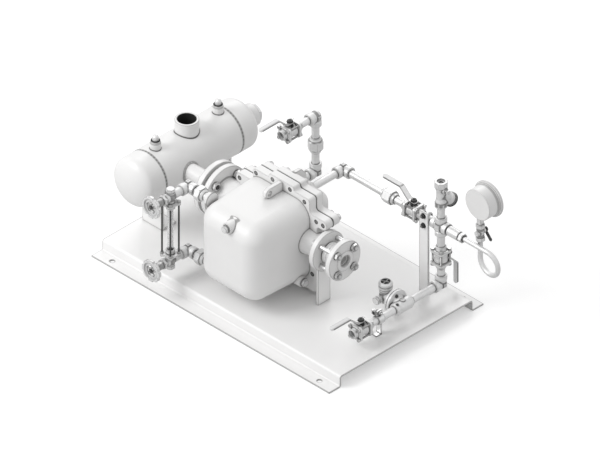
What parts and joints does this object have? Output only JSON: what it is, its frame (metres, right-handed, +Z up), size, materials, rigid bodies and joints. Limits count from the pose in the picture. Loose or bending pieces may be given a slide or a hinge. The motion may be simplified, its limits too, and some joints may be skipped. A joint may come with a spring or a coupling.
{
  "type": "pressure-powered condensate pump",
  "caption": "Steam-driven condensate pump with its receiver, gauge glass, steam, exhaust and drip lines, ball valves and pressure gauge on a folded base plate.",
  "frame": {"origin": "middle of the four foundation holes, at floor level", "axes": "+Z up; +X from the receiver to the pressure gauge; +Y from the gauge glass to the steam line"},
  "size_m": [1.0419, 0.6005, 0.497],
  "materials": {
    "painted_casting": "satin paint over a sand-cast skin",
    "painted_steel": "smooth satin paint",
    "forged_steel": "pale forged and machined steel",
    "zinc_steel": "bright zinc",
    "lever_steel": "pressed steel",
    "dark_seal": "graphite sheet",
    "dial_face": "matt white",
    "pointer_black": "matt black",
    "clear_glass": "clear"
  },
  "bodies": {
    "root": {"base_plate": "painted_steel", "pump_legs": "painted_steel", "receiver_brackets": "painted_steel", "pipe_post": "painted_steel", "pipe_clamps": "zinc_steel", "receiver_shell": "painted_steel", "plugs": "zinc_steel", "pump_body": "painted_casting", "pump_cover": "painted_casting", "gaskets": "dark_seal", "cover_bolts": "zinc_steel", "mechanism_frame": "lever_steel", "trip_spring": "zinc_steel", "inlet_check_ring": "dark_seal", "outlet_check_body": "forged_steel", "outlet_flange": "forged_steel", "flange_bolts": "zinc_steel", "glass_cocks": "forged_steel", "glass_tube": "clear_glass", "guard_rods": "zinc_steel", "gland_nuts": "forged_steel", "glass_connections": "forged_steel", "pipe_lengths": "forged_steel", "pipe_elbows": "forged_steel", "pipe_unions": "forged_steel", "steam_cross": "forged_steel", "steam_strainer": "forged_steel", "strainer_cap": "forged_steel", "trap_connector": "forged_steel", "trap_body": "forged_steel", "trap_cap": "forged_steel", "exhaust_valve_body": "forged_steel", "steam_valve_body": "forged_steel", "blowdown_valve_body": "forged_steel", "drain_valve_body": "forged_steel", "valve_bolts": "zinc_steel", "siphon_tube": "forged_steel", "gauge_cock": "forged_steel", "gauge_case": "painted_steel", "gauge_dial": "dial_face", "gauge_lens": "clear_glass"},
    "exhaust_valve": {"exhaust_valve_ball": "zinc_steel", "exhaust_valve_lever": "lever_steel"},
    "steam_valve": {"steam_valve_ball": "zinc_steel", "steam_valve_lever": "lever_steel"},
    "blowdown_valve": {"blowdown_valve_ball": "zinc_steel", "blowdown_valve_lever": "lever_steel"},
    "drain_valve": {"drain_valve_ball": "zinc_steel", "drain_valve_lever": "lever_steel"},
    "upper_cock_wheel": {"upper_handwheel": "forged_steel"},
    "lower_cock_wheel": {"lower_handwheel": "forged_steel"},
    "gauge_cock_key": {"gauge_cock_lever": "lever_steel"},
    "pointer": {"gauge_pointer": "pointer_black"},
    "float": {"float_ball": "zinc_steel", "float_lever": "lever_steel"},
    "snap": {"snap_arm": "lever_steel"},
    "valve_rod": {"push_rod": "zinc_steel"},
    "inlet_flap": {"inlet_check_flap": "zinc_steel"},
    "outlet_disc": {"outlet_check_disc": "zinc_steel"}
  },
  "joints": [
    {"name": "exhaust_valve_turn", "type": "hinge", "parent": "root", "child": "exhaust_valve", "pos_m": [-0.0345, 0.0435, 0.438], "axis": [0, 0, 1], "range_deg": [0, 90]},
    {"name": "steam_valve_turn", "type": "hinge", "parent": "root", "child": "steam_valve", "pos_m": [0.27, 0.1945, 0.263], "axis": [0, 0, 1], "range_deg": [0, 90]},
    {"name": "blowdown_valve_turn", "type": "hinge", "parent": "root", "child": "blowdown_valve", "pos_m": [0.3695, 0.1945, 0.166], "axis": [0, 1, 0], "range_deg": [0, 90]},
    {"name": "drain_valve_turn", "type": "hinge", "parent": "root", "child": "drain_valve", "pos_m": [0.3695, -0.0995, 0.08], "axis": [0, 0, 1], "range_deg": [0, 90]},
    {"name": "upper_cock_turn", "type": "hinge", "parent": "root", "child": "upper_cock_wheel", "pos_m": [-0.1865, -0.2435, 0.297], "axis": [0, 1, 0], "range_deg": [0, 540]},
    {"name": "lower_cock_turn", "type": "hinge", "parent": "root", "child": "lower_cock_wheel", "pos_m": [-0.1865, -0.2435, 0.095], "axis": [0, 1, 0], "range_deg": [0, 540]},
    {"name": "gauge_cock_turn", "type": "hinge", "parent": "root", "child": "gauge_cock_key", "pos_m": [0.497, 0.2115, 0.298], "axis": [0, 1, 0], "range_deg": [-90, 0]},
    {"name": "pointer_turn", "type": "hinge", "parent": "root", "child": "pointer", "pos_m": [0.497, 0.232, 0.3885], "axis": [0, -1, 0], "range_deg": [0, 270], "stiffness_Nm_per_rad": 0.002, "springref_deg": -28.65},
    {"name": "float_turn", "type": "hinge", "parent": "root", "child": "float", "pos_m": [0.0105, -0.0345, 0.19], "axis": [-1, 0, 0], "range_deg": [0, 30]},
    {"name": "snap_turn", "type": "hinge", "parent": "root", "child": "snap", "pos_m": [0.0105, -0.0305, 0.156], "axis": [1, 0, 0], "range_deg": [0, 10.2]},
    {"name": "rod_lift", "type": "slide", "parent": "root", "child": "valve_rod", "axis": [0, 0, 1], "range_m": [0, 0.008], "deforming": ["trip_spring"]},
    {"name": "inlet_flap_turn", "type": "hinge", "parent": "root", "child": "inlet_flap", "pos_m": [-0.2086, -0.0355, 0.2175], "axis": [0, -1, 0], "range_deg": [0, 50]},
    {"name": "outlet_disc_lift", "type": "slide", "parent": "root", "child": "outlet_disc", "axis": [1, 0, 0], "range_m": [0, 0.006]}
  ],
  "couplings": [
    {"joint": "snap_turn", "follows": "float_turn", "ratio": 0.34},
    {"joint": "rod_lift", "follows": "float_turn", "m_per_rad": 0.015279}
  ]
}
